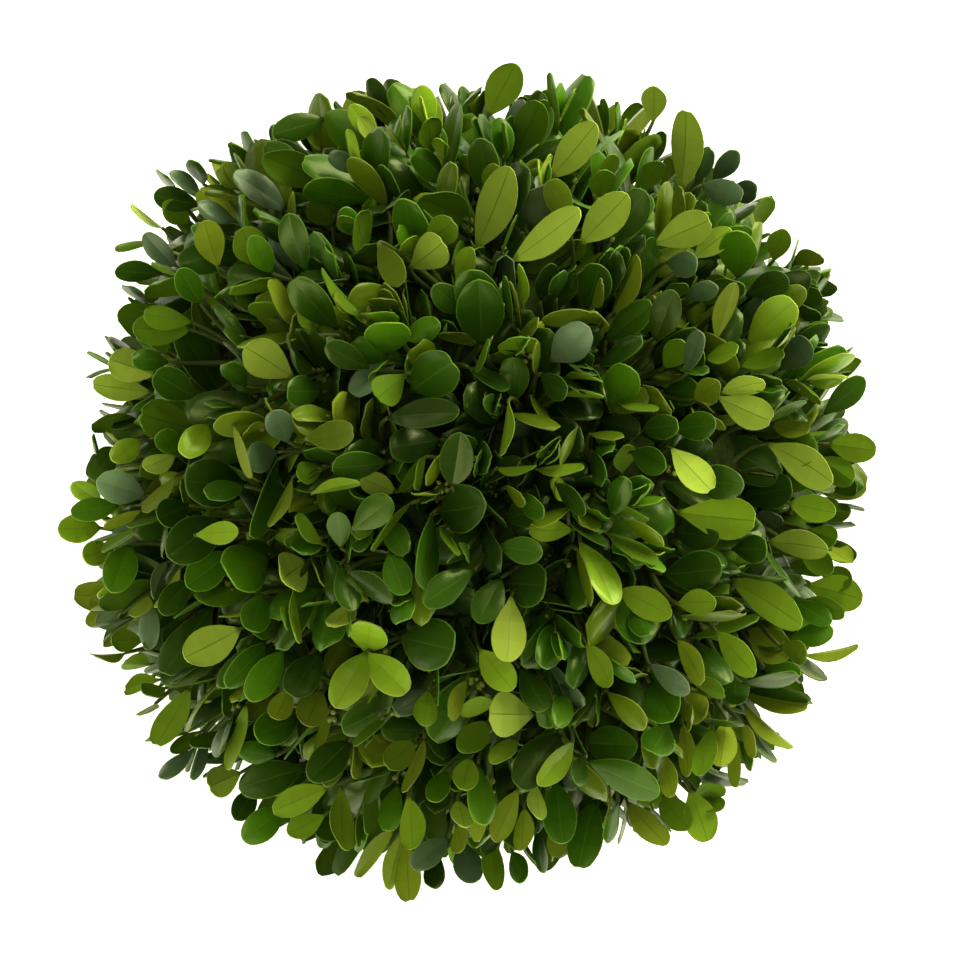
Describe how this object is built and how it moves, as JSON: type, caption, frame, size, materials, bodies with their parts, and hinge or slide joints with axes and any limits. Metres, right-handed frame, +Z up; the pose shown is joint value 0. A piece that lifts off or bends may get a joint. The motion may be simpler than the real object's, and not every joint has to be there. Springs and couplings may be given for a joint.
{
  "type": "clipped box ball",
  "caption": "Small round ball of clipped box: a short leaning stem inside, and six masses of small oval evergreen leaves that point out all round it.",
  "frame": {"origin": "centre of the flat cut under the main stem, at ground level, below the middle of the ball", "axes": "+Z up from the ground; the stem leans towards +X and a little +Y; +Y is the top of the picture, which is taken from above"},
  "size_m": [0.2003, 0.212, 0.2041],
  "materials": {
    "bark": "rough grey-brown bark with fine furrows",
    "foliage": "leathery dark green leaves with a soft gloss above, paler and duller below, among them lime and olive ones"
  },
  "bodies": {
    "root": {"main_stem": "bark", "foliage_top": "foliage", "foliage_side_1": "foliage", "foliage_side_2": "foliage", "foliage_side_3": "foliage", "foliage_side_4": "foliage", "foliage_side_5": "foliage"}
  },
  "joints": []
}
